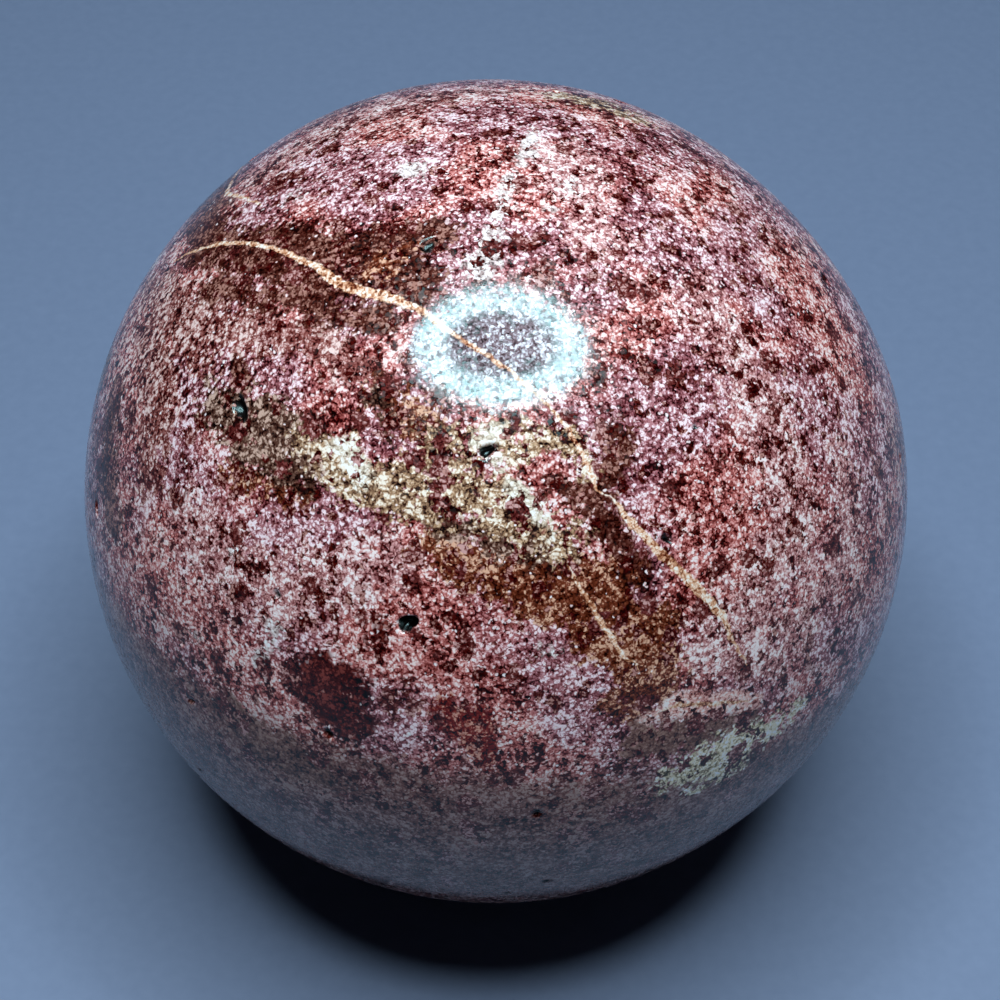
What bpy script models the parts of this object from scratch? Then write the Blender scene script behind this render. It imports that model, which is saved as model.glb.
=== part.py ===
"""A hand-ground, polished ball of garnet-bearing rock that rests on a small ground flat.

The ball is one stone. Its surface is a sphere that grinding left a little uneven, with open
pits where grains broke out of the polish, and a flat underneath that keeps it from rolling.

Units are metres and +Z is up. The origin is the centre of the resting flat. A place on the
stone is an azimuth and an elevation seen from its centre: azimuth 0 faces -Y, 90 faces +X.
"""
import math

import bmesh
import bpy
from mathutils import Vector

MM = 0.001

DIAMETER = 60.0 * MM
FLAT_WIDTH = 13.0 * MM
GRID_SQUARES = 20
PIT_GRID_CUTS = 5
PIT_GRID_MARGIN = 1.7 * MM
CLOSEST_POINTS = 0.15 * MM
LEVEL_TOLERANCE = 0.001 * MM
SHARP_ANGLE = math.radians(30.0)

ROCK_COLOUR = (0.22, 0.075, 0.08, 1.0)
ROCK_ROUGHNESS = 0.14

RADIUS = DIAMETER / 2
CENTRE_HEIGHT = math.sqrt(RADIUS ** 2 - (FLAT_WIDTH / 2) ** 2)

# Where the hand grinding left the ball a little flat or a little full: azimuth, elevation and
# spread in degrees, then height above the true sphere. None reaches an end of the X, Y or Z
# axis, so the ball keeps its full diameter along each of them.
SWELLS = (
    (127.0, 27.0, 38.0, -0.45 * MM),
    (-155.0, 37.0, 32.0, 0.22 * MM),
    (-135.0, -28.0, 36.0, -0.24 * MM),
    (40.0, -36.0, 30.0, -0.16 * MM),
    (-45.0, 20.0, 26.0, 0.10 * MM),
)

# Open pits: azimuth and elevation in degrees, length, width and depth, then the turn of the
# long side up from the horizontal, in degrees.
PITS = (
    (-12.3, 31.4, 1.35 * MM, 1.25 * MM, 0.70 * MM, 0.0),
    (-51.9, 46.9, 2.10 * MM, 1.05 * MM, 0.55 * MM, -38.0),
    (-1.7, 52.7, 1.25 * MM, 1.00 * MM, 0.45 * MM, 20.0),
    (96.0, 14.0, 1.50 * MM, 1.15 * MM, 0.55 * MM, 55.0),
    (158.0, 44.0, 1.30 * MM, 1.10 * MM, 0.50 * MM, 10.0),
    (-148.0, -6.0, 1.90 * MM, 1.10 * MM, 0.55 * MM, -25.0),
    (-98.0, -22.0, 1.30 * MM, 1.15 * MM, 0.50 * MM, 70.0),
    (178.0, -34.0, 1.40 * MM, 1.20 * MM, 0.50 * MM, 30.0),
)
PIT_RIM_WAVES = ((2, 0.16), (3, 0.09))
PIT_NEIGHBOURHOOD = math.radians(10.0)


def outward(azimuth, elevation):
    """Return the direction from the stone's centre at an azimuth and elevation in degrees."""
    turn = math.radians(azimuth)
    lift = math.radians(elevation)
    level = math.cos(lift)
    return Vector((level * math.sin(turn), -level * math.cos(turn), math.sin(lift)))


def swell_height(direction):
    """Return how far the ground surface stands above the true sphere."""
    height = 0.0
    for azimuth, elevation, spread, peak in SWELLS:
        angle = direction.angle(outward(azimuth, elevation))
        reach = angle / math.radians(spread)
        if reach < 1.0:
            height += peak * (1.0 - reach ** 2) ** 2
    return height


def pit_depth(direction):
    """Return how deep the open pits cut into the surface."""
    deepest = 0.0
    for azimuth, elevation, length, width, depth, turn in PITS:
        middle = outward(azimuth, elevation)
        if direction.angle(middle) > PIT_NEIGHBOURHOOD:
            continue
        level = Vector((0.0, 0.0, 1.0)).cross(middle).normalized()
        upward = middle.cross(level)
        lean = math.radians(turn)
        along = level * math.cos(lean) + upward * math.sin(lean)
        across = middle.cross(along)
        x = direction.dot(along) * RADIUS / (length / 2)
        y = direction.dot(across) * RADIUS / (width / 2)
        bearing = math.atan2(y, x)
        rim = 1.0 + sum(size * math.sin(count * bearing + turn) for count, size in PIT_RIM_WAVES)
        reach = math.hypot(x, y) / rim
        if reach < 1.0:
            deepest = max(deepest, depth * (1.0 - reach ** 2))
    return deepest


def cube_blown_round(squares):
    """Return a bmesh of a unit ball made from a cube whose sides are grids of squares."""
    mesh = bmesh.new()
    bmesh.ops.create_cube(mesh, size=2.0)
    bmesh.ops.subdivide_edges(mesh, edges=mesh.edges[:], cuts=squares - 1, use_grid_fill=True)
    for vertex in mesh.verts:
        even = [math.tan(math.pi / 4 * value) for value in vertex.co]
        vertex.co = Vector(even).normalized()
    return mesh


def refine_around_pits(mesh):
    """Cut the squares around each pit finer, so that its rim and floor have a shape."""
    near = set()
    for azimuth, elevation, length, _width, _depth, _turn in PITS:
        middle = outward(azimuth, elevation)
        reach = (length / 2 + PIT_GRID_MARGIN) / RADIUS
        for face in mesh.faces:
            if face.calc_center_median().normalized().angle(middle) < reach:
                near.update(face.edges)
    bmesh.ops.subdivide_edges(mesh, edges=list(near), cuts=PIT_GRID_CUTS, use_grid_fill=True)
    for vertex in mesh.verts:
        vertex.co.normalize()


def grind_flat(mesh):
    """Cut the underside off level at height zero and return the flat faces that close the cut."""
    bmesh.ops.bisect_plane(
        mesh,
        geom=mesh.verts[:] + mesh.edges[:] + mesh.faces[:],
        dist=LEVEL_TOLERANCE,
        plane_co=(0.0, 0.0, 0.0),
        plane_no=(0.0, 0.0, -1.0),
        clear_outer=True,
    )
    bmesh.ops.remove_doubles(mesh, verts=mesh.verts[:], dist=CLOSEST_POINTS)
    rim = [edge for edge in mesh.edges if edge.is_boundary]
    for edge in rim:
        for vertex in edge.verts:
            place = Vector((vertex.co.x, vertex.co.y, 0.0))
            vertex.co = place.normalized() * (FLAT_WIDTH / 2)
    return bmesh.ops.edgeloop_fill(mesh, edges=rim)["faces"]


def rock_material():
    """Return the polished, mottled pink-red rock."""
    material = bpy.data.materials.new("polished_garnet_rock")
    material.use_nodes = True
    shader = material.node_tree.nodes["Principled BSDF"]
    shader.inputs["Base Color"].default_value = ROCK_COLOUR
    shader.inputs["Roughness"].default_value = ROCK_ROUGHNESS
    shader.inputs["Metallic"].default_value = 0.0
    return material


def garnet_sphere():
    """Add the stone."""
    mesh = cube_blown_round(GRID_SQUARES)
    refine_around_pits(mesh)
    for vertex in mesh.verts:
        direction = vertex.co.copy()
        reach = RADIUS + swell_height(direction) - pit_depth(direction)
        vertex.co = direction * reach + Vector((0.0, 0.0, CENTRE_HEIGHT))
    flat = grind_flat(mesh)
    bmesh.ops.triangulate(mesh, faces=[face for face in mesh.faces if face not in flat])
    bmesh.ops.recalc_face_normals(mesh, faces=mesh.faces[:])
    data = bpy.data.meshes.new("garnet_sphere")
    mesh.to_mesh(data)
    mesh.free()
    data.materials.append(rock_material())
    data.shade_smooth()
    data.set_sharp_from_angle(angle=SHARP_ANGLE)
    stone = bpy.data.objects.new("garnet_sphere", data)
    bpy.context.scene.collection.objects.link(stone)


for leftover in list(bpy.data.objects):
    bpy.data.objects.remove(leftover)
garnet_sphere()
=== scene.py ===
import math

import bmesh
import bpy
import numpy as np
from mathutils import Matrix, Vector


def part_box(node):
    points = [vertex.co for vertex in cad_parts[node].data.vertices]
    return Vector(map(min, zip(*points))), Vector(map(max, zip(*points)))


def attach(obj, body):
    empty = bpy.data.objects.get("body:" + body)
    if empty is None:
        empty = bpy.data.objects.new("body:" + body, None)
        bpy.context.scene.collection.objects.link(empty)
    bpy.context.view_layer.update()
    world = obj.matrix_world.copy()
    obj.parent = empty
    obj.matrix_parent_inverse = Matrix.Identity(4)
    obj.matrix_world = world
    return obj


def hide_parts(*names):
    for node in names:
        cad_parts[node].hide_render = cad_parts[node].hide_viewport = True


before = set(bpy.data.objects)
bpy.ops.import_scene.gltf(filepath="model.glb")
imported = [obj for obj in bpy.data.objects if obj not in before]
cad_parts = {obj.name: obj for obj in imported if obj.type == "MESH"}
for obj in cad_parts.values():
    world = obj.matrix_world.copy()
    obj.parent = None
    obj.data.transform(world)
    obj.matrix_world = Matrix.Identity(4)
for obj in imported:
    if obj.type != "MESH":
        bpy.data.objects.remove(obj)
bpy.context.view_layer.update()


# The camera
# It stands close in front of the ball and looks down on it at 48 degrees, with a lens long
# enough for the ball to fill four fifths of the picture.
PICTURE_WIDTH_PX = 1000.0
BALL_MIDDLE_PX = (496.0, 491.5)
BALL_RADIUS_PX = 411.5
CAMERA_ELEVATION = math.radians(48.0)
CAMERA_DISTANCE_RADII = 5.5
SENSOR_WIDTH_MM = 36.0

box_low, box_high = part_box("garnet_sphere")
BALL_RADIUS = (box_high.x - box_low.x) / 2
BALL_RADIUS_MM = BALL_RADIUS * 1000.0
BALL_CENTRE = np.array([
    (box_low.x + box_high.x) / 2,
    (box_low.y + box_high.y) / 2,
    box_high.z - BALL_RADIUS,
])

focal_length_px = BALL_RADIUS_PX * math.sqrt(CAMERA_DISTANCE_RADII ** 2 - 1.0)
picture_right = np.array([1.0, 0.0, 0.0])
picture_up = np.array([0.0, math.sin(CAMERA_ELEVATION), math.cos(CAMERA_ELEVATION)])
looking = np.array([0.0, math.cos(CAMERA_ELEVATION), -math.sin(CAMERA_ELEVATION)])
eye = -CAMERA_DISTANCE_RADII * looking

camera_data = bpy.data.cameras.new("camera")
camera_data.sensor_width = SENSOR_WIDTH_MM
camera_data.lens = focal_length_px / PICTURE_WIDTH_PX * SENSOR_WIDTH_MM
camera_data.shift_x = 0.5 - BALL_MIDDLE_PX[0] / PICTURE_WIDTH_PX
camera_data.shift_y = BALL_MIDDLE_PX[1] / PICTURE_WIDTH_PX - 0.5
camera_data.clip_start = BALL_RADIUS * 0.1
camera = bpy.data.objects.new("camera", camera_data)
camera.location = BALL_CENTRE + eye * BALL_RADIUS
camera.rotation_euler = (math.pi / 2 - CAMERA_ELEVATION, 0.0, 0.0)
bpy.context.scene.collection.objects.link(camera)
bpy.context.scene.camera = camera


def seen_at(x, y):
    """Return the direction from the ball's centre to the point of its surface seen at a pixel."""
    ray = looking + picture_right * (x - BALL_MIDDLE_PX[0]) / focal_length_px
    ray = ray - picture_up * (y - BALL_MIDDLE_PX[1]) / focal_length_px
    ray = ray / np.linalg.norm(ray)
    nearest = -(eye @ ray)
    half_chord = math.sqrt(max(0.0, nearest ** 2 - (eye @ eye - 1.0)))
    point = eye + ray * (nearest - half_chord)
    return point / np.linalg.norm(point)


def facing(azimuth, elevation):
    """Return the direction at an azimuth and elevation in degrees. Azimuth 0 faces -Y."""
    turn = math.radians(azimuth)
    lift = math.radians(elevation)
    level = math.cos(lift)
    return np.array([level * math.sin(turn), -level * math.cos(turn), math.sin(lift)])


# The ball's form
# One lump of garnet rock, ground round by hand in a cupped tool and polished. The grinding
# left it a little uneven, grains broke out of it as open pits, and its foot is ground flat.
# The mesh is a cube blown round, of this many squares along a side.
CUBE_SQUARES = 88
FINE_CUTS = 4
FINE_MARGIN_MM = 0.45
FOOT_RIM_MM = 0.9
HARDLY_DOWNWARD = 1e-6

# Azimuth, elevation and spread in degrees, then height above the true sphere in mm.
SWELLS = (
    (127.0, 27.0, 38.0, -0.45),
    (-155.0, 37.0, 32.0, 0.22),
    (-135.0, -28.0, 36.0, -0.24),
    (40.0, -36.0, 30.0, -0.16),
    (-45.0, 20.0, 26.0, 0.10),
)

# Azimuth and elevation in degrees, length, width and depth in mm, and the long side's turn.
OPEN_PITS = (
    (-12.3, 31.4, 1.35, 1.25, 0.70, 0.0),
    (-51.9, 46.9, 2.10, 1.05, 0.55, -38.0),
    (-1.7, 52.7, 1.25, 1.00, 0.45, 20.0),
    (96.0, 14.0, 1.50, 1.15, 0.55, 55.0),
    (158.0, 44.0, 1.30, 1.10, 0.50, 10.0),
    (-148.0, -6.0, 1.90, 1.10, 0.55, -25.0),
    (-98.0, -22.0, 1.30, 1.15, 0.50, 70.0),
    (178.0, -34.0, 1.40, 1.20, 0.50, 30.0),
)

# Small pits lie scattered, each shallower than it is wide. Each pit's rim is a wavy oval.
SMALL_PIT_COUNT = 70
SMALL_PIT_SEED = 7
SMALL_PIT_HEIGHTS_RADII = (-0.9, 0.98)
SMALL_PIT_WIDTHS_MM = (0.35, 0.85)
SMALL_PIT_LENGTHS_IN_WIDTHS = (1.0, 1.7)
SMALL_PIT_DEPTH_IN_WIDTHS = 0.42
PIT_RIM_WAVES = ((2, 0.16), (3, 0.09))
PIT_REACH_IN_LENGTHS = 2.0

dice = np.random.default_rng(SMALL_PIT_SEED)
small_pits = []
for _pit in range(SMALL_PIT_COUNT):
    lift = math.degrees(math.asin(dice.uniform(*SMALL_PIT_HEIGHTS_RADII)))
    width = dice.uniform(*SMALL_PIT_WIDTHS_MM)
    length = width * dice.uniform(*SMALL_PIT_LENGTHS_IN_WIDTHS)
    turn = dice.uniform(-90.0, 90.0)
    small_pits.append(
        (dice.uniform(-180.0, 180.0), lift, length, width, width * SMALL_PIT_DEPTH_IN_WIDTHS, turn)
    )
all_pits = list(OPEN_PITS) + small_pits
foot_height_radii = BALL_CENTRE[2] / BALL_RADIUS


def swell_mm(directions):
    """Return how far the ground surface stands above the true sphere."""
    height = np.zeros(len(directions))
    for azimuth, elevation, spread, peak in SWELLS:
        angle = np.arccos(np.clip(directions @ facing(azimuth, elevation), -1.0, 1.0))
        reach = np.minimum(angle / math.radians(spread), 1.0)
        height += peak * (1.0 - reach ** 2) ** 2
    return height


def pit_mm(directions):
    """Return how deep the pits cut into the surface."""
    deepest = np.zeros(len(directions))
    for azimuth, elevation, length, width, depth, turn in all_pits:
        middle = facing(azimuth, elevation)
        widest_angle = PIT_REACH_IN_LENGTHS * length / BALL_RADIUS_MM
        near = np.flatnonzero(directions @ middle > math.cos(widest_angle))
        level = np.cross((0.0, 0.0, 1.0), middle)
        level /= np.linalg.norm(level)
        upward = np.cross(middle, level)
        lean = math.radians(turn)
        along = level * math.cos(lean) + upward * math.sin(lean)
        across = np.cross(middle, along)
        x = directions[near] @ along * BALL_RADIUS_MM / (length / 2)
        y = directions[near] @ across * BALL_RADIUS_MM / (width / 2)
        bearing = np.arctan2(y, x)
        rim = 1.0 + sum(size * np.sin(count * bearing + turn) for count, size in PIT_RIM_WAVES)
        reach = np.minimum(np.hypot(x, y) / rim, 1.0)
        deepest[near] = np.maximum(deepest[near], depth * (1.0 - reach ** 2))
    return deepest


def blown_round(points):
    """Turn points on a cube of half side 1 into evenly spread directions."""
    even = np.tan(np.asarray(points) * math.pi / 4)
    return even / np.linalg.norm(even, axis=1, keepdims=True)


cube = bmesh.new()
bmesh.ops.create_cube(cube, size=2.0)
bmesh.ops.subdivide_edges(cube, edges=cube.edges[:], cuts=CUBE_SQUARES - 1, use_grid_fill=True)
cube.faces.ensure_lookup_table()
face_middles = blown_round([face.calc_center_median() for face in cube.faces])

# The squares are cut finer round the pits and along the rim of the flat foot.
angle_from_foot = np.arccos(np.clip(-face_middles[:, 2], -1.0, 1.0))
fine = np.abs(angle_from_foot - math.acos(foot_height_radii)) < FOOT_RIM_MM / BALL_RADIUS_MM
for azimuth, elevation, length, _width, _depth, _turn in all_pits:
    reach = (length / 2 + FINE_MARGIN_MM) / BALL_RADIUS_MM
    fine |= face_middles @ facing(azimuth, elevation) > math.cos(reach)
fine_edges = {edge for index in np.flatnonzero(fine) for edge in cube.faces[index].edges}
bmesh.ops.subdivide_edges(cube, edges=list(fine_edges), cuts=FINE_CUTS, use_grid_fill=True)
bmesh.ops.triangulate(cube, faces=cube.faces[:])

# Each side of the cube has a cell of its own in the flat map that its colours are baked to.
MAP_CELL_MARGIN = 0.006
side_map = cube.loops.layers.uv.new("OFBake")
for face in cube.faces:
    middle = face.calc_center_median()
    axis = max(range(3), key=lambda index: abs(middle[index]))
    row = 0 if middle[axis] > 0 else 1
    for loop in face.loops:
        others = [loop.vert.co[index] for index in range(3) if index != axis]
        u, v = ((value + 1.0) / 2 * (1.0 - 2 * MAP_CELL_MARGIN) + MAP_CELL_MARGIN for value in others)
        loop[side_map].uv = ((axis + u) / 3, (row + v) / 2)

ball_mesh = bpy.data.meshes.new("polished_ball")
cube.to_mesh(ball_mesh)
cube.free()
corners = np.empty(len(ball_mesh.vertices) * 3)
ball_mesh.vertices.foreach_get("co", corners)
directions = blown_round(corners.reshape(-1, 3))
pit_depths = pit_mm(directions)
reaches = BALL_RADIUS_MM + swell_mm(directions) - pit_depths

# Towards the table every direction ends at the ground flat.
downward = np.maximum(-directions[:, 2], HARDLY_DOWNWARD)
reaches = np.minimum(reaches, foot_height_radii * BALL_RADIUS_MM / downward)
surface = directions * reaches[:, None] / 1000.0 + BALL_CENTRE
ball_mesh.vertices.foreach_set("co", surface.ravel())
ball_mesh.shade_smooth()
ball_mesh.update()
ball = bpy.data.objects.new("polished_ball", ball_mesh)
bpy.context.scene.collection.objects.link(ball)


# The rock's markings
# What lies where in the polished face: patches of darker, browner and whiter rock, a few of
# them painted shade, painted light or a painted reflection as marked, and thin pale seams where
# old cracks healed. Each is a chain of places, picture coordinates in pixels, with a half width
# in mm at each, and a chain of one place is a round spot.
FAR_MM = 50.0
NO_LENGTH = 1e-12

russet_rock = (
    [(148, 290, 1.8), (200, 326, 2.8), (262, 330, 2.0), (330, 340, 1.4), (386, 396, 0.8)],
    [(150, 330, 2.0), (160, 400, 2.2), (150, 470, 1.6)],
)
pale_rock_and_rim_light = (
    [(700, 300, 2.0), (770, 430, 2.4), (790, 520, 2.6), (764, 590, 2.4), (716, 650, 2.1)],
    [(842, 470, 1.5), (852, 540, 1.6), (770, 664, 1.4), (716, 656, 1.8)],
    [(560, 160, 2.6), (600, 240, 2.0)],
    # Painted light: a band of pale rock along the upper left edge, lighter where the lamp's light
    # rims the ball.
    [(236, 196, 1.8), (300, 146, 2.4), (380, 108, 2.4), (460, 94, 2.0)],
    [(190, 520, 2.2), (240, 580, 2.8), (310, 590, 2.4), (390, 560, 1.8)],
)
umber_rock = (
    [(188, 256, 1.4), (232, 246, 1.9), (290, 254, 2.6), (325, 276, 3.0), (352, 272, 2.7)],
    [(345, 250, 1.8), (385, 262, 2.6), (412, 282, 2.2)],
    [(396, 244, 1.3), (434, 236, 1.6)],
    [(205, 288, 1.0), (250, 290, 1.1), (300, 302, 1.0), (340, 314, 1.0), (384, 318, 1.1)],
    [(386, 386, 0.9), (396, 398, 1.0)],
    [(114, 396, 1.4), (108, 450, 1.7), (114, 520, 1.6)],
    [(236, 375, 1.0), (243, 392, 0.8)],
    [(606, 422, 0.7), (622, 444, 1.1), (606, 474, 1.2), (592, 502, 1.2)],
    [(554, 484, 0.9), (592, 502, 1.2), (620, 548, 1.0), (656, 626, 0.8), (654, 690, 1.0)],
)
streaky_rock = (
    [(128, 330, 3.4), (190, 360, 4.4), (240, 400, 3.0)],
    [(330, 260, 1.4), (400, 270, 1.6)],
)
# Under the ring highlight: grey rock, and partly the painted grey-violet haze of the lamp's
# reflection.
grey_rock_and_sheen = (
    [(446, 342, 2.4), (500, 346, 3.8), (552, 350, 2.4)],
)
dark_olive_rock = (
    [(212, 404, 1.3), (258, 430, 2.6), (300, 452, 2.4), (330, 462, 1.4)],
    [(376, 398, 0.8), (392, 424, 0.9)],
    [(430, 512, 0.9), (470, 524, 1.3), (520, 540, 1.6), (566, 550, 1.2)],
)
gold_rock = (
    [(300, 440, 0.6), (340, 464, 1.2), (372, 486, 1.5)],
    [(360, 482, 1.4), (400, 490, 1.7), (450, 492, 1.9), (500, 508, 1.7), (566, 544, 1.2)],
    [(420, 446, 0.7), (470, 438, 1.0), (510, 444, 1.1), (560, 440, 1.0), (586, 468, 0.7)],
    [(560, 98, 1.4), (600, 104, 1.6), (636, 118, 1.2)],
)
rusty_rock = (
    [(430, 548, 1.4), (500, 572, 2.3), (560, 582, 2.8), (604, 616, 2.9), (640, 640, 2.4)],
    [(640, 640, 2.4), (652, 690, 2.2), (618, 704, 1.5)],
    [(375, 400, 1.2), (418, 425, 1.7), (440, 452, 1.0)],
    [(222, 470, 0.8), (300, 490, 1.0)],
    [(374, 268, 0.7), (396, 258, 0.8)],
)
cream_rock = (
    [(336, 446, 0.3), (352, 462, 0.6), (366, 474, 0.5)],
    [(520, 494, 0.7), (538, 514, 0.5), (552, 532, 0.6)],
    [(470, 440, 0.4), (488, 436, 0.6), (494, 462, 0.4)],
)
white_rock = (
    [(532, 132, 0.3), (518, 164, 0.35), (506, 192, 0.4), (492, 226, 0.6), (482, 266, 0.9)],
    [(552, 208, 0.6)],
    [(297, 194, 0.5)],
    [(414, 168, 0.9)],
    [(554, 650, 0.5)],
    [(276, 631, 0.3), (257, 671, 0.2)],
    [(192, 638, 0.6)],
    [(574, 188, 0.5)],
    [(240, 560, 0.4)],
)
pink_rock = (
    [(652, 716, 0.5), (676, 705, 0.9), (715, 702, 1.0), (756, 700, 0.7)],
)
green_rock = (
    [(668, 780, 0.8), (704, 768, 1.9), (734, 750, 2.2), (758, 738, 1.5)],
    [(772, 724, 0.5), (800, 706, 0.3)],
)
red_rock = (
    [(446, 714, 1.2), (472, 728, 1.7), (484, 752, 1.2)],
)
garnet_rock = (
    [(312, 682, 2.0), (332, 694, 2.8), (348, 718, 2.0)],
    [(182, 452, 0.5), (178, 500, 0.4)],
    [(384, 626, 0.6), (374, 644, 0.4)],
)
# Painted shade: patches of the darker foot, reaching up at the bottom of the front.
foot_shade_patches = (
    [(636, 742, 1.4), (690, 734, 1.5), (752, 722, 1.1)],
    [(228, 706, 1.2), (258, 740, 1.8), (314, 772, 1.5)],
)

# The same kinds of rock on the other sides, in azimuth and elevation.
russet_rock_behind = (
    [(-135, 56, 2.0), (-150, 48, 3.4), (170, 48, 2.4)],
    [(80, 20, 2.0), (100, 8, 3.2)],
)
pale_rock_behind = (
    [(150, 60, 2.4), (120, 30, 3.0), (150, 14, 2.0)],
    [(-120, 30, 2.4), (-165, 4, 3.0)],
)
umber_rock_behind = (
    [(-95, 50, 1.8), (-116, 42, 2.6), (-140, 30, 2.2)],
    [(150, 6, 1.5), (165, -8, 2.4), (178, -16, 1.4)],
    [(72, -12, 1.2), (88, -20, 1.8)],
)
streaky_rock_behind = (
    [(-100, 20, 4.0), (-125, 8, 4.4), (-150, 2, 3.0)],
    [(110, -12, 2.0), (140, 4, 3.4), (165, 10, 2.4)],
)
grey_rock_behind = (
    [(128, 30, 1.4), (140, 20, 2.0)],
    [(-172, 34, 1.2), (-162, 26, 1.8)],
)
dark_olive_rock_behind = (
    [(-92, 22, 1.6), (-112, 14, 2.6), (-128, 11, 1.8)],
)
gold_rock_behind = (
    [(-122, 13, 1.2), (-138, 9, 2.2), (-154, 2, 1.2)],
    [(104, 20, 1.2), (116, 20, 2.0), (134, 20, 1.4)],
)
rusty_rock_behind = (
    [(104, 0, 1.6), (122, -8, 2.6), (140, -14, 1.8)],
    [(-172, 18, 1.4), (172, 26, 2.2)],
)
cream_rock_behind = (
    [(116, 22, 0.6), (122, 20, 0.9)],
    [(-160, -2, 0.9), (-154, 5, 0.6)],
)
white_rock_behind = (
    [(140, 8, 0.6), (146, 16, 0.9)],
    [(-106, 34, 0.8)],
    [(168, 52, 0.6), (178, 46, 0.7)],
)
pink_rock_behind = (
    [(-170, -14, 0.3), (-150, -16, 0.6), (-132, -10, 0.3)],
)
green_rock_behind = (
    [(-178, -8, 1.1), (170, -14, 1.0)],
)
red_rock_behind = (
    [(140, -2, 0.8), (147, -7, 1.1)],
)
garnet_rock_behind = (
    [(166, 36, 1.5), (158, 30, 2.0)],
    [(-125, -12, 1.6), (-118, -19, 1.1)],
    [(124, 36, 1.1)],
)
# Painted shade: patches of the darker foot on the other sides.
foot_shade_patches_behind = (
    [(-120, -2, 1.2), (-105, 3, 2.0)],
    [(80, -3, 1.6), (95, 2, 1.6)],
)

# A seam's half width is that of its pale filling. It ends a little past its last place, and
# beyond its reach the surface counts as far outside it.
SEAM_REACH_MM = 0.8
SEAM_PAST_END_MM = 0.6
seams_behind = (
    [(-100, 58, 0.00), (-112, 48, 0.12), (-128, 41, 0.20), (-141, 31, 0.14), (-150, 18, 0.00)],
    [(120, -20, 0.00), (128, -4, 0.10), (133, 12, 0.16), (150, 26, 0.12), (158, 40, 0.00)],
    [(-175, -22, 0.00), (-165, -8, 0.12), (-158, 10, 0.10), (-160, 22, 0.00)],
)
seams = (
    [(171, 263, 0.00), (194, 251, 0.06), (221, 244, 0.10), (248, 243, 0.12), (276, 249, 0.12),
     (314, 265, 0.18), (343, 286, 0.34), (366, 292, 0.36), (388, 297, 0.26), (422, 311, 0.18),
     (455, 335, 0.12), (482, 352, 0.10), (518, 377, 0.08), (552, 410, 0.05), (577, 442, 0.12),
     (591, 476, 0.14), (598, 492, 0.00)],
    [(612, 498, 0.00), (630, 522, 0.21), (662, 555, 0.24), (690, 580, 0.24), (707, 598, 0.26),
     (722, 616, 0.22), (732, 640, 0.10), (744, 660, 0.00)],
    [(568, 566, 0.00), (580, 588, 0.10), (594, 608, 0.10), (608, 633, 0.12), (621, 652, 0.12),
     (634, 664, 0.00)],
    [(660, 712, 0.00), (676, 705, 0.12), (715, 703, 0.14), (748, 701, 0.00)],
)


def seen(chain):
    """Return a chain of pixels and half widths as directions and half widths."""
    return [(seen_at(x, y), half_width) for x, y, half_width in chain]


def around(chain):
    """Return a chain of azimuths, elevations and half widths as directions and half widths."""
    return [(facing(azimuth, elevation), half_width) for azimuth, elevation, half_width in chain]


def past_edge_mm(chains):
    """Return how far each point of the surface lies outside the nearest of some patches."""
    nearest = np.full(len(directions), FAR_MM)
    for chain in chains:
        for (start, start_width), (end, end_width) in zip(chain, chain[1:] or chain):
            along = end - start
            share = np.clip((directions - start) @ along / max(along @ along, NO_LENGTH), 0.0, 1.0)
            middle = start + share[:, None] * along
            middle /= np.linalg.norm(middle, axis=1, keepdims=True)
            distance = np.linalg.norm(directions - middle, axis=1) * BALL_RADIUS_MM
            width = start_width + share * (end_width - start_width)
            nearest = np.minimum(nearest, distance - width)
    return nearest


def across_seams_mm(chains):
    """Return each point's signed distance from the nearest seam, and the seam's half width."""
    nearest = np.full(len(directions), FAR_MM)
    side = np.full(len(directions), FAR_MM)
    half_width = np.zeros(len(directions))
    for chain in chains:
        for (start, start_width), (end, end_width) in zip(chain, chain[1:]):
            along = end - start
            share = (directions - start) @ along / (along @ along)
            beyond = np.abs(share - np.clip(share, 0.0, 1.0)) * np.linalg.norm(along)
            share = np.clip(share, 0.0, 1.0)
            middle = start + share[:, None] * along
            middle /= np.linalg.norm(middle, axis=1, keepdims=True)
            distance = np.linalg.norm(directions - middle, axis=1) * BALL_RADIUS_MM
            left = np.cross(start, along)
            sign = np.sign((directions - middle) @ left)
            closer = distance < nearest
            nearest[closer] = distance[closer]
            side[closer] = (distance * np.where(sign < 0, -1.0, 1.0))[closer]
            width = start_width + share * (end_width - start_width)
            width = np.where(beyond * BALL_RADIUS_MM > SEAM_PAST_END_MM, 0.0, width)
            half_width[closer] = width[closer]
    half_width[nearest > SEAM_REACH_MM] = -SEAM_REACH_MM
    return side, half_width


def keep_measure(name, values):
    """Keep one number for each point of the ball's mesh, for its material to read."""
    measure = ball_mesh.attributes.new(name, "FLOAT", "POINT")
    measure.data.foreach_set("value", np.asarray(values, np.float32))


seam_side, seam_half_width = across_seams_mm(
    [seen(chain) for chain in seams] + [around(chain) for chain in seams_behind]
)
keep_measure("seam_side", seam_side)
keep_measure("seam_half_width", seam_half_width)
keep_measure("pit_depth", pit_depths)


# The ball's polished face
# Garnet rock: pink and red garnet with white quartz and silvery mica, cut through by sawing
# and grinding, then polished with fine grit. The eye sees hard-edged specks under a gloss.
GRAIN_MM = 0.25
CLUMP_MM = 0.55
MOTTLE_MM = 2.4
CLOUD_MM = 7.0

# Real dust between the grains is too fine to see, so it is drawn about half a grain across.
DUST_MM = 0.12


def linear(hex_colour):
    """Turn an sRGB hex colour into a linear one."""
    parts = [int(hex_colour[place:place + 2], 16) / 255 for place in (1, 3, 5)]
    return tuple(p / 12.92 if p <= 0.04045 else ((p + 0.055) / 1.055) ** 2.4 for p in parts) + (1.0,)


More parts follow.
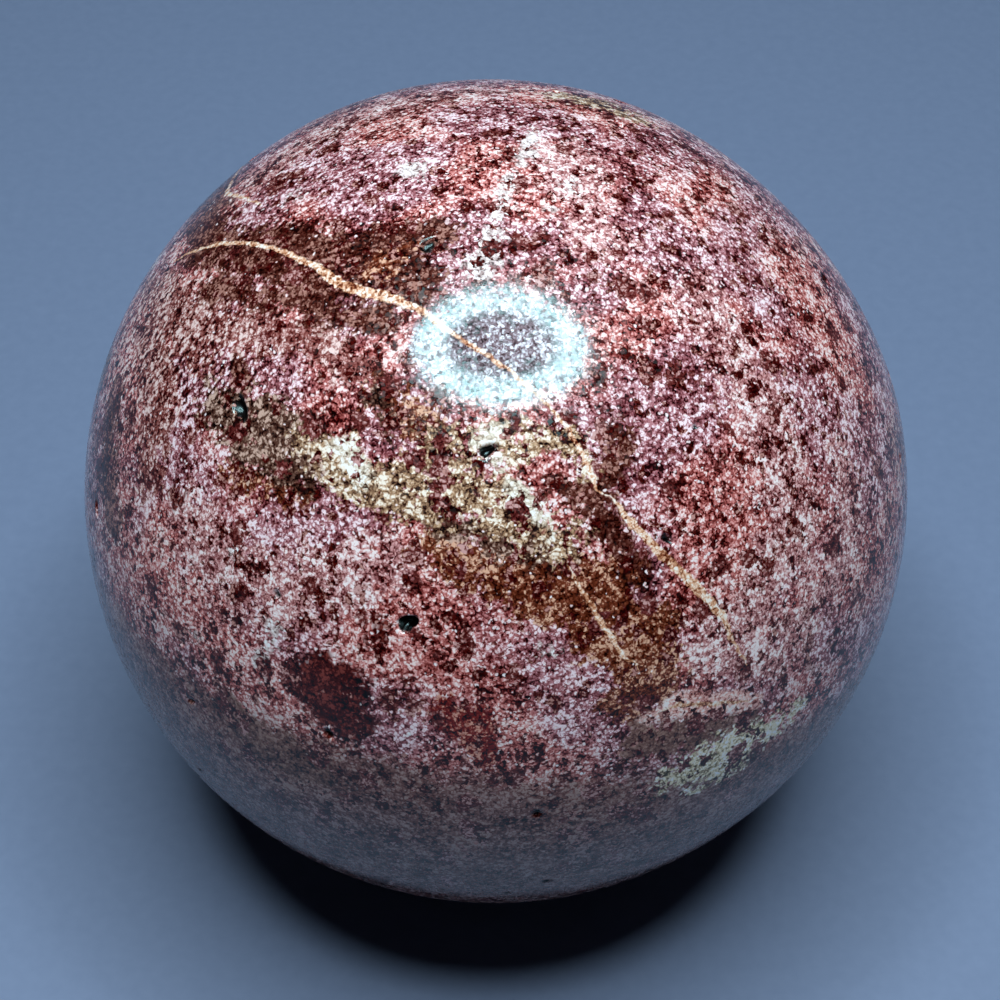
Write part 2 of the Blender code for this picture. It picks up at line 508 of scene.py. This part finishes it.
def add(kind, inputs=None, **settings):
    """Add a node to the material in hand, with its settings, values and links."""
    node = tree.nodes.new(kind)
    for name, value in settings.items():
        setattr(node, name, value)
    for name, value in (inputs or {}).items():
        if isinstance(value, bpy.types.NodeSocket):
            tree.links.new(value, node.inputs[name])
        else:
            node.inputs[name].default_value = value
    return node


rock = bpy.data.materials.new("polished_garnet_rock")
rock.use_nodes = True
tree = rock.node_tree
tree.nodes.clear()

place = add("ShaderNodeTexCoord")
in_mm = add(
    "ShaderNodeVectorMath", {0: place.outputs["Object"], "Scale": 1000.0}, operation="SCALE"
).outputs[0]

# Slightly ragged coordinates give every grain a broken outline.
CRUMBLE_MM = 0.4
CRUMBLE_REACH_MM = 0.13
crumble = add("ShaderNodeTexNoise", {"Vector": in_mm, "Scale": 1 / CRUMBLE_MM, "Detail": 1.0})
crumble = add(
    "ShaderNodeVectorMath",
    {
        0: crumble.outputs["Color"],
        1: (2 * CRUMBLE_REACH_MM,) * 3,
        2: (-CRUMBLE_REACH_MM,) * 3,
    },
    operation="MULTIPLY_ADD",
)
ragged = add("ShaderNodeVectorMath", {0: in_mm, 1: crumble.outputs[0]}, operation="ADD").outputs[0]

grain = add("ShaderNodeTexVoronoi", {"Vector": ragged, "Scale": 1 / GRAIN_MM})
grain_parts = add("ShaderNodeSeparateColor", {0: grain.outputs["Color"]})
dust = add(
    "ShaderNodeVectorMath", {0: ragged, 1: (DUST_MM, DUST_MM, DUST_MM)}, operation="SNAP"
)
dust = add("ShaderNodeTexWhiteNoise", {"Vector": dust.outputs[0]})
dust_parts = add("ShaderNodeSeparateColor", {0: dust.outputs["Color"]})
clump = add("ShaderNodeTexNoise", {"Vector": in_mm, "Scale": 1 / CLUMP_MM, "Detail": 1.0})
mottle = add("ShaderNodeTexNoise", {"Vector": in_mm, "Scale": 1 / MOTTLE_MM, "Detail": 1.0})
cloud = add("ShaderNodeTexNoise", {"Vector": in_mm, "Scale": 1 / CLOUD_MM, "Detail": 1.0})

# Thin dark gaps part the grains. They begin and are full this far from a grain's middle, in
# grain spacings.
GAP_BEGINS = 0.36
GAP_FULL = 0.62
gap = add(
    "ShaderNodeMapRange",
    {"Value": grain.outputs["Distance"], "From Min": GAP_BEGINS, "From Max": GAP_FULL},
    interpolation_type="SMOOTHSTEP",
)

# How light each speck is: its own grain, the dust in it, and the clumps it lies among.
MIDDLE_LIGHT = 0.52
LIGHT_SHARES = (
    (grain_parts.outputs[0], 0.47),
    (gap.outputs[0], -0.18),
    (dust_parts.outputs[0], 0.40),
    (clump.outputs["Fac"], 0.8),
    (mottle.outputs["Fac"], 0.75),
)
speck_light = MIDDLE_LIGHT - sum(share for _part, share in LIGHT_SHARES) / 2
for part, share in LIGHT_SHARES:
    speck_light = add(
        "ShaderNodeMath", {0: part, 1: share, 2: speck_light}, operation="MULTIPLY_ADD"
    ).outputs[0]

# In places the grains are drawn out: upright in the streaky rock, level in the gold, whose
# own patches are laid further down. For each, the kind of rock, how much a step along X, Y
# and Z counts, and how strongly the fibres show.
FIBRE_MM = 0.3
FIBRE_EDGE_MM = 1.5
DRAWN_OUT = (("streaky", (1.0, 1.0, 0.14), 1.1), ("gold", (0.2, 0.7, 1.0), 0.9))
streaky_places = [seen(chain) for chain in streaky_rock]
streaky_places += [around(chain) for chain in streaky_rock_behind]
keep_measure("streaky_edge", past_edge_mm(streaky_places))
for name, stretch, strength in DRAWN_OUT:
    fibres = add("ShaderNodeVectorMath", {0: in_mm, 1: stretch}, operation="MULTIPLY")
    fibres = add(
        "ShaderNodeTexNoise", {"Vector": fibres.outputs[0], "Scale": 1 / FIBRE_MM, "Detail": 0.0}
    )
    fibres = add("ShaderNodeMath", {0: fibres.outputs["Fac"], 1: 0.5}, operation="SUBTRACT")
    edge = add("ShaderNodeAttribute", attribute_name=name + "_edge")
    inside = add(
        "ShaderNodeMapRange",
        {
            "Value": edge.outputs["Fac"],
            "From Min": FIBRE_EDGE_MM,
            "From Max": -FIBRE_EDGE_MM,
            "To Max": strength,
        },
    )
    speck_light = add(
        "ShaderNodeMath",
        {0: fibres.outputs[0], 1: inside.outputs[0], 2: speck_light},
        operation="MULTIPLY_ADD",
    ).outputs[0]

# Each kind of rock has the colours of its specks, from darkest to lightest, at these steps.
LIGHT_STEPS = (0.08, 0.18, 0.36, 0.5, 0.64, 0.84)
mauve_specks = ("#1A0204", "#460C12", "#7E4247", "#A66469", "#CC9196", "#FFE8EC")
salmon_specks = ("#240202", "#560A09", "#964641", "#C46F69", "#E69E97", "#FFE9E3")
russet_specks = ("#1E0404", "#4A1110", "#7C3C36", "#985A53", "#BE857E", "#F4D6CE")
pale_specks = ("#2A0606", "#5E1A1A", "#9E605F", "#C68885", "#E4B0AC", "#FFF0ED")
umber_specks = ("#0C0101", "#240302", "#40150D", "#4F2018", "#63342B", "#AC7A6C")
grey_specks = ("#22171A", "#463438", "#70595E", "#887378", "#A69AA2", "#EAE6EA")
dark_olive_specks = ("#0A0302", "#240B07", "#46271E", "#5A3A2E", "#785648", "#CDAA98")
gold_specks = ("#190806", "#442419", "#836048", "#AB8564", "#D3AE8B", "#FFF2E0")
rusty_specks = ("#140200", "#340A04", "#562210", "#6C2E1B", "#8B4A34", "#E4B294")
cream_specks = ("#4C3224", "#8C7460", "#CDBBA4", "#E4D4BE", "#F6EAD8", "#FFFFFF")
white_specks = ("#5A403C", "#9E8480", "#CEBAB4", "#E2D2CC", "#F4E8E4", "#FFFFFF")
pink_specks = ("#6E2C26", "#AE6258", "#E8A69A", "#F6C2B6", "#FFDCD2", "#FFF6F2")
green_specks = ("#4A3E2A", "#8C7A5A", "#D4C29C", "#F4E4C0", "#FFF6DC", "#FFFFFF")
mauve_crystal_specks = ("#1C0303", "#360807", "#541C1A", "#682A27", "#7E403C", "#D0A09A")
crystal_specks = ("#0E0000", "#220101", "#3A0605", "#480B08", "#581712", "#C08A80")
red_specks = ("#140100", "#380202", "#621110", "#761A14", "#94362A", "#DCA08C")
garnet_specks = ("#080000", "#1C0101", "#360504", "#420A07", "#501410", "#803830")
# The specks of the foot's painted shade, darker and flatter than the rock's own.
foot_shade_specks = ("#2A100F", "#482522", "#6C443B", "#7A5246", "#8A6256", "#A88274")
seam_specks = ("#5A2212", "#965434", "#CC8E6A", "#E8B490", "#F8D4B8", "#FFF5E8")

# Each kind's patches, seen and behind, its specks, and how much of the wander its edge takes.
patches = (
    ("russet", russet_rock, russet_rock_behind, russet_specks, 1.6),
    ("pale", pale_rock_and_rim_light, pale_rock_behind, pale_specks, 1.6),
    ("umber", umber_rock, umber_rock_behind, umber_specks, 1.0),
    ("rusty", rusty_rock, rusty_rock_behind, rusty_specks, 1.1),
    ("dark_olive", dark_olive_rock, dark_olive_rock_behind, dark_olive_specks, 1.0),
    ("gold", gold_rock, gold_rock_behind, gold_specks, 1.1),
    ("cream", cream_rock, cream_rock_behind, cream_specks, 0.7),
    ("white", white_rock, white_rock_behind, white_specks, 0.8),
)
low_patches = (
    ("pink", pink_rock, pink_rock_behind, pink_specks, 0.4),
    ("green", green_rock, green_rock_behind, green_specks, 1.3),
    ("red", red_rock, red_rock_behind, red_specks, 0.7),
    ("garnet", garnet_rock, garnet_rock_behind, garnet_specks, 0.7),
)


def speck_colours(colours):
    """Return the colour of every speck in one kind of rock."""
    ramp = add("ShaderNodeValToRGB", {"Fac": speck_light})
    stops = ramp.color_ramp.elements
    while len(stops) < len(colours):
        stops.new(0.5)
    for stop, step, colour in zip(stops, LIGHT_STEPS, colours):
        stop.position = step
        stop.color = linear(colour)
    return ramp.outputs["Color"]


# Clouds of mauve and of salmon rock lie under everything else.
TINT_BEGINS = 0.42
TINT_FULL = 0.58
tint = add(
    "ShaderNodeMapRange",
    {"Value": cloud.outputs["Fac"], "From Min": TINT_BEGINS, "From Max": TINT_FULL},
    interpolation_type="SMOOTHSTEP",
)
body = add(
    "ShaderNodeMix",
    {0: tint.outputs[0], 6: speck_colours(mauve_specks), 7: speck_colours(salmon_specks)},
    data_type="RGBA",
).outputs[2]

# Flakes of mica all through the pink rock are painted pale pink to white: their own pale colour, and
# partly painted glints where they catch the light. They are measured in grain spacings.
FLAKED_SHARE = 0.3
WIDEST_FLAKE = 0.6
FLAKE_EDGE = 0.15
FLAKE_STRENGTH = 0.85
FLAKE_AND_GLINT_COLOURS = ("#EFC0BC", "#FFFFFF")
flake_reach = add(
    "ShaderNodeMapRange",
    {
        "Value": grain_parts.outputs[1],
        "From Min": 1.0 - FLAKED_SHARE,
        "From Max": 1.0,
        "To Max": WIDEST_FLAKE,
    },
)
flake_depth = add(
    "ShaderNodeMath", {0: flake_reach.outputs[0], 1: grain.outputs["Distance"]}, operation="SUBTRACT"
)
flake_and_glint_inside = add(
    "ShaderNodeMapRange",
    {
        "Value": flake_depth.outputs[0],
        "From Min": 0.0,
        "From Max": FLAKE_EDGE,
        "To Max": FLAKE_STRENGTH,
    },
)
speck_and_glint_colour = add(
    "ShaderNodeMix",
    {0: dust_parts.outputs[1], 6: linear(FLAKE_AND_GLINT_COLOURS[0]), 7: linear(FLAKE_AND_GLINT_COLOURS[1])},
    data_type="RGBA",
)
body = add(
    "ShaderNodeMix",
    {0: flake_and_glint_inside.outputs[0], 6: body, 7: speck_and_glint_colour.outputs[2]},
    data_type="RGBA",
).outputs[2]

# The edge of a patch wanders, and whole grains fall on one side or the other.
WANDER_MM = 1.6
WANDER_SWING_MM = 4.0
WANDER_SHIFT_MM = -2.4
WANDER_OF_A_GRAIN_MM = 1.0
PATCH_EDGE_MM = 0.3
wander = add(
    "ShaderNodeTexNoise",
    {"Vector": in_mm, "Scale": 1 / WANDER_MM, "Detail": 2.0, "Roughness": 0.6},
)
wander = add(
    "ShaderNodeMath",
    {0: wander.outputs["Fac"], 1: WANDER_SWING_MM, 2: WANDER_SHIFT_MM},
    operation="MULTIPLY_ADD",
)
wander = add(
    "ShaderNodeMath",
    {0: grain_parts.outputs[1], 1: WANDER_OF_A_GRAIN_MM, 2: wander.outputs[0]},
    operation="MULTIPLY_ADD",
)


def lay_patches(under, kinds):
    """Lay patches of some kinds of rock, some of them painted shade or light, over a colour."""
    for name, chains, chains_behind, colours, wander_share in kinds:
        places = [seen(chain) for chain in chains] + [around(chain) for chain in chains_behind]
        keep_measure(name + "_edge", past_edge_mm(places))
        edge = add("ShaderNodeAttribute", attribute_name=name + "_edge")
        edge = add(
            "ShaderNodeMath", {0: wander.outputs[0], 1: wander_share, 2: edge.outputs["Fac"]},
            operation="MULTIPLY_ADD",
        )
        inside = add(
            "ShaderNodeMapRange",
            {"Value": edge.outputs[0], "From Min": PATCH_EDGE_MM, "From Max": -PATCH_EDGE_MM},
            interpolation_type="SMOOTHSTEP",
        )
        under = add(
            "ShaderNodeMix",
            {0: inside.outputs[0], 6: under, 7: speck_colours(colours)},
            data_type="RGBA",
        ).outputs[2]
    return under


body = lay_patches(body, patches)

# A few chips of quartz stand out white in every kind: their own white, and partly painted glints.
# They are measured in grain spacings.
CHIPPED_SHARE = 0.08
WIDEST_CHIP = 0.5
CHIP_EDGE = 0.1
CHIP_STRENGTH = 0.9
chip_reach = add(
    "ShaderNodeMapRange",
    {
        "Value": grain_parts.outputs[1],
        "From Min": 1.0 - CHIPPED_SHARE,
        "From Max": 1.0,
        "To Max": WIDEST_CHIP,
    },
)
chip_depth = add(
    "ShaderNodeMath", {0: chip_reach.outputs[0], 1: grain.outputs["Distance"]}, operation="SUBTRACT"
)
chip_and_glint_inside = add(
    "ShaderNodeMapRange",
    {
        "Value": chip_depth.outputs[0],
        "From Min": 0.0,
        "From Max": CHIP_EDGE,
        "To Max": CHIP_STRENGTH,
    },
)
body = add(
    "ShaderNodeMix",
    {0: chip_and_glint_inside.outputs[0], 6: body, 7: speck_and_glint_colour.outputs[2]},
    data_type="RGBA",
).outputs[2]

# Painted shade: towards its foot the rock gets darker, flatter specks that stand in for the
# shade below the lamp-lit top. Its upper edge is a plane that stands higher at the front and the
# left, and patches of it reach above that.
FOOT_SHADE_UP = np.array([0.12, 0.28, 1.0])
FOOT_SHADE_TOP_RADII = -0.085
FOOT_SHADE_EDGE_MM = 1.2
FOOT_SHADE_STRENGTH = 0.85
keep_measure("foot_shade_rise", (directions @ FOOT_SHADE_UP - FOOT_SHADE_TOP_RADII) * BALL_RADIUS_MM)
edge = add("ShaderNodeAttribute", attribute_name="foot_shade_rise")
edge = add(
    "ShaderNodeMath", {0: wander.outputs[0], 1: edge.outputs["Fac"]}, operation="ADD"
)
foot_shade = add(
    "ShaderNodeMapRange",
    {
        "Value": edge.outputs[0],
        "From Min": FOOT_SHADE_EDGE_MM,
        "From Max": -FOOT_SHADE_EDGE_MM,
        "To Max": FOOT_SHADE_STRENGTH,
    },
    interpolation_type="SMOOTHSTEP",
)
body = add(
    "ShaderNodeMix",
    {0: foot_shade.outputs[0], 6: body, 7: speck_colours(foot_shade_specks)},
    data_type="RGBA",
).outputs[2]

# The painted shade of the foot reaches above its plane in patches.
body = lay_patches(body, (("foot_shade", foot_shade_patches, foot_shade_patches_behind, foot_shade_specks, 0.8),))
body = lay_patches(body, low_patches)

# Crystals of dark red garnet, each of its own size and twisted outline, with whole grains
# bitten out of it. Two sizes of them lie scattered, and they stand a third taller than wide.
# Spacing in mm, share of places left empty, widest radius in spacings, colours of the specks.
GARNETS = ((1.6, 0.36, 0.58, mauve_crystal_specks), (0.9, 0.24, 0.58, crystal_specks))
UPRIGHT = (1.0, 1.0, 0.72)
BITE_MM = 0.13
TWIST_MM = 0.65
CRYSTAL_EDGE_MM = 0.06
bite = add(
    "ShaderNodeMath",
    {0: grain_parts.outputs[1], 1: 2 * BITE_MM, 2: -BITE_MM},
    operation="MULTIPLY_ADD",
)
twist = add(
    "ShaderNodeVectorMath",
    {0: clump.outputs["Color"], 1: (2 * TWIST_MM,) * 3, 2: (-TWIST_MM,) * 3},
    operation="MULTIPLY_ADD",
)
twisted = add("ShaderNodeVectorMath", {0: ragged, 1: twist.outputs[0]}, operation="ADD")
twisted = add("ShaderNodeVectorMath", {0: twisted.outputs[0], 1: UPRIGHT}, operation="MULTIPLY")
for spacing, empty_share, widest, colours in GARNETS:
    crystal = add("ShaderNodeTexVoronoi", {"Vector": twisted.outputs[0], "Scale": 1 / spacing})
    crystal_parts = add("ShaderNodeSeparateColor", {0: crystal.outputs["Color"]})
    crystal_reach = add(
        "ShaderNodeMapRange",
        {
            "Value": crystal_parts.outputs[0],
            "From Min": empty_share,
            "From Max": 1.0,
            "To Max": widest,
        },
    )
    crystal_depth = add(
        "ShaderNodeMath",
        {0: crystal_reach.outputs[0], 1: crystal.outputs["Distance"]},
        operation="SUBTRACT",
    )
    crystal_depth = add(
        "ShaderNodeMath",
        {0: crystal_depth.outputs[0], 1: spacing, 2: bite.outputs[0]},
        operation="MULTIPLY_ADD",
    )
    crystal_inside = add(
        "ShaderNodeMapRange",
        {"Value": crystal_depth.outputs[0], "From Min": 0.0, "From Max": CRYSTAL_EDGE_MM},
    )
    body = add(
        "ShaderNodeMix",
        {0: crystal_inside.outputs[0], 6: body, 7: speck_colours(colours)},
        data_type="RGBA",
    ).outputs[2]

# Grey rock without crystals. The patch in front lies under the lamp's ring highlight, and its grey
# partly stands in for the haze of that reflection: painted reflection.
body = lay_patches(body, (("grey", grey_rock_and_sheen, grey_rock_behind, grey_specks, 0.8),))

# Healed cracks are filled with pale and golden stuff. The line shivers, and the grains break
# into its edges.
SHIVER_MM = 0.9
SHIVER_REACH_MM = 0.25
SEAM_BITE_MM = 0.10
SEAM_BEGINS_MM = -0.16
SEAM_FULL_MM = -0.04
side = add("ShaderNodeAttribute", attribute_name="seam_side")
half_width = add("ShaderNodeAttribute", attribute_name="seam_half_width")
shiver = add(
    "ShaderNodeTexNoise",
    {"Vector": in_mm, "Scale": 1 / SHIVER_MM, "Detail": 1.0, "Roughness": 0.7},
)
shiver = add(
    "ShaderNodeMath",
    {0: shiver.outputs["Fac"], 1: 2 * SHIVER_REACH_MM, 2: -SHIVER_REACH_MM},
    operation="MULTIPLY_ADD",
)
side = add("ShaderNodeMath", {0: side.outputs["Fac"], 1: shiver.outputs[0]}, operation="ADD")
side = add("ShaderNodeMath", {0: side.outputs[0]}, operation="ABSOLUTE")
seam_depth = add(
    "ShaderNodeMath", {0: half_width.outputs["Fac"], 1: side.outputs[0]}, operation="SUBTRACT"
)
seam_depth = add(
    "ShaderNodeMath", {0: grain_parts.outputs[2], 1: -SEAM_BITE_MM, 2: seam_depth.outputs[0]},
    operation="MULTIPLY_ADD",
)
seam_inside = add(
    "ShaderNodeMapRange",
    {"Value": seam_depth.outputs[0], "From Min": SEAM_BEGINS_MM, "From Max": SEAM_FULL_MM},
    interpolation_type="SMOOTHSTEP",
)
body = add(
    "ShaderNodeMix",
    {0: seam_inside.outputs[0], 6: body, 7: speck_colours(seam_specks)},
    data_type="RGBA",
).outputs[2]

# The pits are painted near black, more so where they are deeper: painted shade in the hollows, and
# old polishing dirt.
PIT_SHADE_AND_DIRT = "#060101"
PIT_SHADE_AND_DIRT_MM = 0.16
pit = add("ShaderNodeAttribute", attribute_name="pit_depth")
pit = add(
    "ShaderNodeMath", {0: grain_parts.outputs[0], 1: -PIT_SHADE_AND_DIRT_MM, 2: pit.outputs["Fac"]},
    operation="MULTIPLY_ADD",
)
pit_shade_and_dirt = add(
    "ShaderNodeMapRange",
    {"Value": pit.outputs[0], "From Min": 0.0, "From Max": PIT_SHADE_AND_DIRT_MM},
    interpolation_type="SMOOTHSTEP",
)
body = add(
    "ShaderNodeMix",
    {0: pit_shade_and_dirt.outputs[0], 6: body, 7: linear(PIT_SHADE_AND_DIRT)},
    data_type="RGBA",
).outputs[2]

# Hard garnet took the polish and soft mica stayed a little dull, so the gloss is stippled.
# The painted shade and dirt in the pits have an even, half-dull face. Garnet bends light by
# about 1.75, quartz and mica by about 1.55, and the mix of them lies between.
SOFT_GRAIN_SHARE = 0.45
GARNET_ROUGHNESS = 0.10
MICA_ROUGHNESS = 0.36
PIT_ROUGHNESS = 0.25
ROCK_IOR = 1.6
GLOSS_LEVEL = 0.4
GLOSS_TINT = "#D6FFFC"
roughness = add(
    "ShaderNodeMapRange",
    {
        "Value": grain_parts.outputs[2],
        "From Min": SOFT_GRAIN_SHARE,
        "From Max": 0.0,
        "To Min": GARNET_ROUGHNESS,
        "To Max": MICA_ROUGHNESS,
    },
)
roughness = add(
    "ShaderNodeMix",
    {0: pit_shade_and_dirt.outputs[0], 2: roughness.outputs[0], 3: PIT_ROUGHNESS},
    data_type="FLOAT",
)

# The grains stand a few thousandths of a millimetre proud or low, here in metres.
RELIEF = 0.0000025
relief = add("ShaderNodeTexNoise", {"Vector": in_mm, "Scale": 1 / GRAIN_MM, "Detail": 1.0})
relief = add(
    "ShaderNodeBump", {"Height": relief.outputs["Fac"], "Strength": 1.0, "Distance": RELIEF}
)
shader = add(
    "ShaderNodeBsdfPrincipled",
    {
        "Base Color": body,
        "Roughness": roughness.outputs[0],
        "IOR": ROCK_IOR,
        "Specular IOR Level": GLOSS_LEVEL,
        "Specular Tint": linear(GLOSS_TINT),
        "Normal": relief.outputs[0],
    },
)
add("ShaderNodeOutputMaterial", {"Surface": shader.outputs[0]})
ball_mesh.materials.append(rock)

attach(ball, "root")
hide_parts("garnet_sphere")


# The table
# A plain board, far larger than the picture. Its face is matt laminate, cool grey with a
# faint fleck, which the eye takes for one even tone.
TABLE_SIZE = 3.0
FLECKS_PER_MM = 0.9
LAMINATE_COLOURS = ("#6B7B96", "#7585A0")
LAMINATE_ROUGHNESS = 0.6
half_table = TABLE_SIZE / 2
table_mesh = bpy.data.meshes.new("table")
table_mesh.from_pydata(
    [(-half_table, -half_table, 0), (half_table, -half_table, 0), (half_table, half_table, 0),
     (-half_table, half_table, 0)],
    [],
    [(0, 1, 2, 3)],
)
table = bpy.data.objects.new("table", table_mesh)
bpy.context.scene.collection.objects.link(table)
laminate = bpy.data.materials.new("matt_laminate")
laminate.use_nodes = True
tree = laminate.node_tree
tree.nodes.clear()
place = add("ShaderNodeTexCoord")
fleck = add(
    "ShaderNodeTexNoise",
    {"Vector": place.outputs["Object"], "Scale": FLECKS_PER_MM * 1000.0, "Detail": 2.0},
)
fleck_colour = add(
    "ShaderNodeMix",
    {0: fleck.outputs["Fac"], 6: linear(LAMINATE_COLOURS[0]), 7: linear(LAMINATE_COLOURS[1])},
    data_type="RGBA",
)
shader = add(
    "ShaderNodeBsdfPrincipled",
    {"Base Color": fleck_colour.outputs[2], "Roughness": LAMINATE_ROUGHNESS},
)
add("ShaderNodeOutputMaterial", {"Surface": shader.outputs[0]})
table_mesh.materials.append(laminate)


# The light
# A ring lamp hangs nearly straight above the ball and shows in its polish as a bright ring.
# It is an oval face of light with a dark oval hole. A faint even glow fills the room.
LAMP_HEIGHT = 0.319
LAMP_MIDDLE = (0.0081, -0.0303)
LAMP_WIDTHS = (0.240, 0.187)
LAMP_HOLE_WIDTHS = (0.150, 0.102)
LAMP_HOLE_MIDDLE = (0.0066, -0.0286)
LAMP_HOLE_RIM = (0.95, 1.05)
LAMP_COLOUR = "#E4F4FF"
LAMP_POWER = 2.52
ROOM_COLOUR = "#AFC0D6"
ROOM_STRENGTH = 0.012

lamp_data = bpy.data.lights.new("ring_lamp", "AREA")
lamp_data.shape = "ELLIPSE"
lamp_data.size = LAMP_WIDTHS[0]
lamp_data.size_y = LAMP_WIDTHS[1]
lamp_data.energy = LAMP_POWER
lamp_data.use_nodes = True
tree = lamp_data.node_tree
tree.nodes.clear()
lamp_face = add("ShaderNodeNewGeometry")
hole_place = [
    0.5 + (hole - middle) / width
    for hole, middle, width in zip(LAMP_HOLE_MIDDLE, LAMP_MIDDLE, LAMP_WIDTHS)
]
hole_reach = [width / hole * 2.0 for width, hole in zip(LAMP_WIDTHS, LAMP_HOLE_WIDTHS)]
from_middle = add(
    "ShaderNodeVectorMath", {0: lamp_face.outputs["Parametric"], 1: (*hole_place, 0.0)},
    operation="SUBTRACT",
)
from_middle = add(
    "ShaderNodeVectorMath", {0: from_middle.outputs[0], 1: (*hole_reach, 0.0)}, operation="MULTIPLY"
)
from_middle = add("ShaderNodeVectorMath", {0: from_middle.outputs[0]}, operation="LENGTH")
lit = add(
    "ShaderNodeMapRange",
    {
        "Value": from_middle.outputs["Value"],
        "From Min": LAMP_HOLE_RIM[0],
        "From Max": LAMP_HOLE_RIM[1],
    },
)
glow = add("ShaderNodeEmission", {"Color": linear(LAMP_COLOUR), "Strength": lit.outputs[0]})
add("ShaderNodeOutputLight", {"Surface": glow.outputs[0]})
lamp = bpy.data.objects.new("ring_lamp", lamp_data)
lamp.location = BALL_CENTRE + np.array((*LAMP_MIDDLE, LAMP_HEIGHT))
bpy.context.scene.collection.objects.link(lamp)

room = bpy.data.worlds.new("room")
room.use_nodes = True
tree = room.node_tree
tree.nodes.clear()
glow = add("ShaderNodeBackground", {"Color": linear(ROOM_COLOUR), "Strength": ROOM_STRENGTH})
add("ShaderNodeOutputWorld", {"Surface": glow.outputs[0]})
bpy.context.scene.world = room
bpy.context.scene.view_settings.view_transform = "Standard"
bpy.context.scene.view_settings.look = "None"
